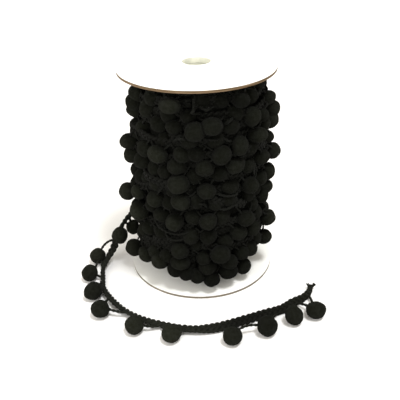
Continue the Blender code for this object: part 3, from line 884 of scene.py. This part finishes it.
def wound_pompoms():
    """The centre, size, turn, angle, width, height and painted light and shade factor of each outer
    pompom on the roll.
    """
    draw = random.Random(WOUND_SEED)
    tail = smooth_line(np.array(TAIL_ROUTE) * MM, TAIL_CHECK_STEP)
    loose = np.array([row[1:4] for row in TAIL_POMPOMS]) * MM
    lowest = BODY_LOW + POMPOM_RADIUS
    highest = BODY_HIGH - POMPOM_RADIUS
    heights = np.array([turn[0] for turn in TURNS])
    chosen = []
    for angle, reach, level, across, up, shade in STANDING_OUT:
        centre = polar(angle, reach * MM, level * MM)
        number = int(np.abs(heights - level).argmin())
        chosen.append((centre, POMPOM_RADIUS, number, angle, across * MM / 2, up * MM / 2, shade))
    for number, (height, drop, left, right, front) in enumerate(TURNS):
        first = BACK_FIRST + BACK_STAGGER * number % BACK_STEP
        back = range(first, BACK_LAST, BACK_STEP)
        for place, angle in enumerate([*front, *back]):
            rise = 0.0
            if place >= len(front):
                angle += draw.uniform(-BACK_JITTER, BACK_JITTER)
                rise = draw.uniform(-HEIGHT_JITTER, HEIGHT_JITTER)
            level = min(max(turn_height(height, drop, angle) * MM + rise, lowest), highest)
            reach = turn_reach(left, right, angle) * MM
            if abs(angle) < SUNK_WITHIN and level > SUNK_ABOVE:
                reach -= SUNK
            centre = polar(angle, reach, level)
            size = POMPOM_RADIUS * draw.uniform(*PLAIN_SIZES)
            near_tail = np.linalg.norm(tail - centre, axis=1).min() < CLEAR_OF_TAIL
            near_loose = np.linalg.norm(loose - centre, axis=1).min() < 2 * POMPOM_RADIUS + ROLL_GAP
            crowded = any(np.linalg.norm(centre - other[0]) < CROWDED for other in chosen)
            if not (near_tail or near_loose or crowded):
                across = size * draw.uniform(*PLAIN_ACROSS)
                up = size * draw.uniform(*PLAIN_UP)
                # random tone, times the painted light round the roll
                shade = draw.uniform(*PLAIN_SHADES) * np.interp(angle, *zip(*ROUND_PAINTED_LIGHT))
                chosen.append((centre, size, number, angle, across, up, shade))
    return chosen


def braid_above(number, angle):
    """The point on the braid that a turn's pompoms hang from, at an angle round the roll."""
    height, drop, left, right, _ = TURNS[number]
    level = turn_height(height, drop, angle) + BRAID_ABOVE
    for deep, waves, shift in WANDER:
        level += deep * math.sin(math.radians(waves * angle + shift * number))
    level = min(max(level * MM, BODY_LOW + BRAID_INSET), BODY_HIGH - BRAID_INSET)
    return polar(angle, turn_reach(left, right, angle) * MM - BODY_UNDER + BRAID_PROUD, level)


outer = wound_pompoms()
pile_net = round_net(4)
TUFTED_WITHIN = 98  # degrees either side of the front; behind, the pile is cut a little smoother
BANDS = 4
per_band = math.ceil(len(outer) / BANDS)
for band in range(BANDS):
    balls = []
    in_band = outer[band * per_band : (band + 1) * per_band]
    for centre, size, number, angle, across, up, _ in in_band:
        tie = unit(braid_above(number, angle) - centre)
        tufted = abs(angle) < TUFTED_WITHIN
        balls.append(tufted_ball(chance, pile_net, centre, size, tie, across / size, up / size, tufted))
    piece = make_piece("wound_pompoms_" + "abcd"[band], gather(balls), POMPOM_PILE)
    paint_ball_light(piece, balls, [entry[-1] for entry in in_band])

# ------------------------ the turns underneath
# Older turns fill the roll out: more pompoms, pressed together between the outer ones, over a
# dark mass of braid and yarn on the tube.
FILL_STEP = 15  # degrees between the pressed pompoms of a turn
FILL_ROWS = 14
FILL_FIRST = 5.4 * MM  # the first and last rows' distance from the discs
FILL_INSET = 5.2 * MM  # no pressed pompom comes nearer to a disc than this
FILL_UNDER = 0.4 * MM  # their centres lie this far inside the body's surface
FILL_ASTRAY = (3, 1.5, 0.8)  # degrees along the turn, mm up, mm outward
FILL_CLEAR = 7.8 * MM
FILL_HANG = 0.8  # of its radius that one needs above the lowest trim
FILL_SIZES = (0.84, 0.94)
PRESSED_SHADE = 0.9
CORE_UNDER = 0.7 * MM
CORE_CLEAR = 0.2 * MM  # between it and the tube
CORE_TURN = 4.6  # mm from one turn of old braid to the next
CORE_RIDGE = 0.9  # mm that each stands out
CORE_LUMPS = 0.3
CORE_ROUNDED = 2.5 * MM  # its top and bottom edges draw in by this much
CORE_STEPS = 140
CORE_LEVELS = 70
UNDERSIDE = (
    # angle, height of the lowest trim there, mm
    (-180, 4), (-100, 8), (-77, 10), (-54, 13.5), (-36, 12.5), (-20, 12), (-8, 9),
    (3, 5), (14, 5), (46, 5), (58, 12), (76, 13), (100, 8), (180, 4),
)
UNDER_SLOPE = 1.3  # how fast the roll draws in below that height


def body_reach(angle, height):
    """How far the wound body reaches: it follows the turns above and below a height."""
    above = TURNS[0]
    for turn in TURNS:
        if turn[0] * MM <= height:
            share = (height - turn[0] * MM) / max((above[0] - turn[0]) * MM, ROLL_GAP)
            low_reach = turn_reach(turn[2], turn[3], angle)
            high_reach = turn_reach(above[2], above[3], angle)
            return (low_reach + (high_reach - low_reach) * min(share, 1.0)) * MM - BODY_UNDER
        above = turn
    return turn_reach(above[2], above[3], angle) * MM - BODY_UNDER


def underside(angle):
    """The height of the lowest trim at an angle round the roll."""
    table = np.array(UNDERSIDE, float)
    return float(np.interp((angle + 180) % 360 - 180, table[:, 0], table[:, 1])) * MM


fill_net = round_net(3)
centres = np.array([entry[0] for entry in outer])
along, up, out = FILL_ASTRAY
fill_balls = []
for row in range(FILL_ROWS):
    level = BODY_LOW + FILL_FIRST + (BODY_HIGH - BODY_LOW - 2 * FILL_FIRST) * row / (FILL_ROWS - 1)
    for step in range(0, 360, FILL_STEP):
        angle = step + FILL_STEP / 2 * (row % 2) + chance.uniform(-along, along)
        height = level + chance.uniform(-up, up) * MM
        height = float(np.clip(height, BODY_LOW + FILL_INSET, BODY_HIGH - FILL_INSET))
        reach = body_reach(angle, height) - FILL_UNDER + chance.uniform(-out, out) * MM
        centre = polar(angle, reach, height)
        if np.linalg.norm(centres - centre, axis=1).min() < FILL_CLEAR:
            continue
        if height - POMPOM_RADIUS * FILL_HANG < underside(angle):
            continue
        size = POMPOM_RADIUS * chance.uniform(*FILL_SIZES)
        fill_balls.append(tufted_ball(chance, fill_net, centre, size, -outward(centre)))
fill = make_piece("pressed_pompoms", gather(fill_balls), POMPOM_PILE)
paint_ball_light(fill, fill_balls, [PRESSED_SHADE] * len(fill_balls))


def core_mass():
    """The dark mass under the pompoms as one closed ring of lumpy braid turns."""
    levels = np.linspace(BODY_LOW, BODY_HIGH, CORE_LEVELS)
    reach = np.full((CORE_LEVELS + 2, CORE_STEPS), TUBE_RADIUS + CORE_CLEAR)
    for row, level in enumerate(levels):
        for step in range(CORE_STEPS):
            angle = 360.0 * step / CORE_STEPS
            turns = 2 * math.pi * level / MM / CORE_TURN
            ridge = CORE_RIDGE * math.sin(turns + math.radians(angle * 3))
            ridge += CORE_LUMPS * math.sin(math.radians(angle * 46 + row * 80))
            reach[row, step] = body_reach(angle, level) - CORE_UNDER + ridge * MM
            reach[row, step] -= max(underside(angle) + 4 * MM - level, 0.0) * UNDER_SLOPE
    reach[[0, CORE_LEVELS - 1]] -= CORE_ROUNDED
    return turned(reach, [*levels, levels[-1], levels[0]], CORE_STEPS)


core = make_piece("wound_core", core_mass(), BRAID_COTTON)
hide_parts("wound_trim")

# ------------------------ the roll's braid and ties
# Each turn's braid runs above its pompoms, and every pompom hangs from it by two short lengths
# of carrier yarn. A few stretches of braid have ridden up over the balls and show whole.
WOUND_STEP = 1.25 * MM
SHOWN_BRAIDS = (
    # start, end, start height, end height, reach, sag
    (-55, -6, 73.5, 71.0, 39.8, -1.0),
    (-50, -4, 30.5, 41.5, 38.8, 0.5),
    (7, 41, 64.4, 56.0, 40.6, -1.2),
    (-24, 30, 99.5, 98.5, 38.6, -2.4),
    (150, 205, 66.0, 60.0, 38.6, 1.0),
    (120, 170, 36.0, 34.0, 38.6, 1.0),
)
SHOWN_TUCK = 2.4  # mm that the ends of such a stretch go in
SHOWN_STEP = 0.5 * MM
LEAVING_STEP = 0.45 * MM
LEAVING = (
    # the loose end's way off the roll: angle, distance from the axis, height
    (-160, 34.5, 34.0),
    (-145, 36.5, 33.6),
    (-130, 39.0, 32.4),
    (-118, 41.2, 31.4),
)


def flat_on_roll(line, *plait):
    """A plait that lies flat against the roll along a line."""
    _, side, face = directions(line, outward(line))
    return plaited(line, side, face, *plait)


turn_skins = []
for number in range(len(TURNS)):
    line = [braid_above(number, angle) for angle in range(0, 355, 3)]
    turn_skins += flat_on_roll(smooth_line(line, WOUND_STEP), number, 6, 0.0)
wound_braid = make_piece("wound_braid_turns", gather(turn_skins), BRAID_COTTON)

shown_skins = []
for start, stop, low, high, reach, sag in SHOWN_BRAIDS:
    line = []
    for share in np.linspace(0, 1, 24):
        out = reach - SHOWN_TUCK * (2 * share - 1) ** 6
        level = low + (high - low) * share - sag * math.sin(math.pi * share)
        line.append(polar(start + (stop - start) * share, out * MM, level * MM))
    shown_skins += flat_on_roll(smooth_line(line, SHOWN_STEP), 0.0, 10)
leaving = [polar(angle, reach * MM, height * MM) for angle, reach, height in LEAVING]
leaving += [tail_line[0] - tail_run[0] * 2 * MM, tail_line[0]]
shown_skins += flat_on_roll(smooth_line(leaving, LEAVING_STEP))
shown_braid = make_piece("shown_braid", gather(shown_skins), BRAID_COTTON)

YARN_SHOWN = (
    # lengths of carrier yarn that lie over the front: angle and height of each place, mm
    ((-43, 46.3), (-35, 45.1), (-26, 43.0), (-16, 43.2), (-4, 44.6)),
    ((-33, 44.2), (-27, 39.6), (-18, 38.9), (-7, 41.1)),
    ((10, 68.5), (20, 66.7), (28, 66.4), (33, 67.9)),
    ((10, 59.0), (19, 58.4), (26, 59.7), (37, 57.7)),
    ((-8, 62.7), (-2, 64.0), (3, 63.3), (5, 59.3)),
    ((-3, 122.6), (-3, 118.3), (-4, 116.7), (1, 115.1)),
    ((2, 118.8), (6, 118.1), (12, 118.8)),
    ((-20, 98.9), (-15, 102.0), (-10, 102.3), (-8, 101.2)),
    ((4, 101.1), (12, 101.2), (19, 101.5)),
    ((17, 101.2), (22, 99.5), (27, 98.0)),
    ((52, 70.1), (46, 76.8), (51, 81.6)),
    ((64, 52.9), (70, 44.8), (65, 41.3)),
    ((19, 107.1), (23, 110.5), (28, 110.9)),
)
YARN_REACH = 42.2  # mm from the axis where such a length shows
YARN_TUCK = 3.4  # mm that its ends go in under the pompoms
tie_skins = []
for places in YARN_SHOWN:
    last = len(places) - 1
    over = [
        polar(angle, (YARN_REACH - YARN_TUCK * (place in (0, last))) * MM, height * MM)
        for place, (angle, height) in enumerate(places)
    ]
    tie_skins.append(yarn_skin(over))

TIE_RADIUS = 0.55 * MM
TIE_STEP = 0.9 * MM
TIE_SPREAD = (6.6, 13.2)  # degrees along the braid from a pompom to either of its ties
TIE_PROUD = 1.0 * MM  # a tie lies over the braid's face
TIE_INSIDE = 0.6  # of the pompom's radius
TIE_SLACK = (0.6, 1.8)  # mm
for centre, size, number, angle, *_ in outer:
    for way in (-1, 1):
        knot = braid_above(number, angle + way * chance.uniform(*TIE_SPREAD))
        knot += outward(knot) * TIE_PROUD
        inside = centre + unit(knot - centre) * size * TIE_INSIDE
        middle = (knot + inside) / 2 + outward(centre) * chance.uniform(*TIE_SLACK) * MM
        tie_skins.append(yarn_skin([knot, middle, inside], TIE_RADIUS, 6, TIE_STEP))
ties = make_piece("wound_ties", gather(tie_skins), BRAID_COTTON)

# ------------------------ the table and the light
# A white sweep. A soft lamp hangs high in front on the right, a broad one stands on the left,
# and the warm white room is brighter on its left side.
TABLE_REACH = 12.0  # metres from the roll to the sweep's edges
LAMPS_AIM = (0, 0, 0.04)
ROOM_COLOUR = (1.0, 0.95, 0.86, 1.0)
LIT_SIDE = 1.22  # how bright the room is on the left
DARK_SIDE = 0.64  # and on the right


def make_table():
    """The plain white surface."""
    material, tree, shader = new_material("white_sweep", (0.92, 0.92, 0.92), 0.9, 0.0)
    grain = noise(tree, 40.0, 2.0)
    tint = colour_between(tree, grain, (0.915, 0.915, 0.912), (0.925, 0.925, 0.925))
    tree.links.new(tint, shader.inputs["Base Color"])
    corners = [(x * TABLE_REACH, y * TABLE_REACH, 0) for x, y in ((-1, -1), (1, -1), (1, 1), (-1, 1))]
    mesh = bpy.data.meshes.new("table")
    mesh.from_pydata(corners, [], [(0, 1, 2, 3)])
    mesh.materials.append(material)
    add_object("table", mesh)


def make_lamp(name, place, size, power, colour):
    """A square soft light that looks at the roll."""
    data = bpy.data.lights.new(name, "AREA")
    data.shape = "SQUARE"
    data.size = size
    data.energy = power
    data.color = colour
    lamp = add_object(name, data)
    lamp.location = place
    aim = Vector(LAMPS_AIM) - Vector(place)
    lamp.rotation_euler = aim.to_track_quat("-Z", "Y").to_euler()


make_table()
make_lamp("soft_light_above", (0.52, -0.64, 2.3), 0.5, 41.0, (0.99, 0.995, 1.0))
make_lamp("soft_light_front", (-1.0, -1.3, 0.8), 1.6, 14.0, (1.0, 1.0, 1.0))
world = bpy.data.worlds.new("white_room")
world.use_nodes = True
walls = world.node_tree
room = walls.nodes["Background"]
room.inputs["Color"].default_value = ROOM_COLOUR
way = add_node(walls, "TexCoord", {}).outputs["Generated"]
across = add_node(walls, "SeparateXYZ", {"Vector": way}).outputs["X"]
sides = {"Value": across, "From Min": -1.0, "To Min": LIT_SIDE, "To Max": DARK_SIDE}
brightness = add_node(walls, "MapRange", sides).outputs["Result"]
walls.links.new(brightness, room.inputs["Strength"])
bpy.context.scene.world = world
bpy.context.scene.view_settings.view_transform = "Standard"
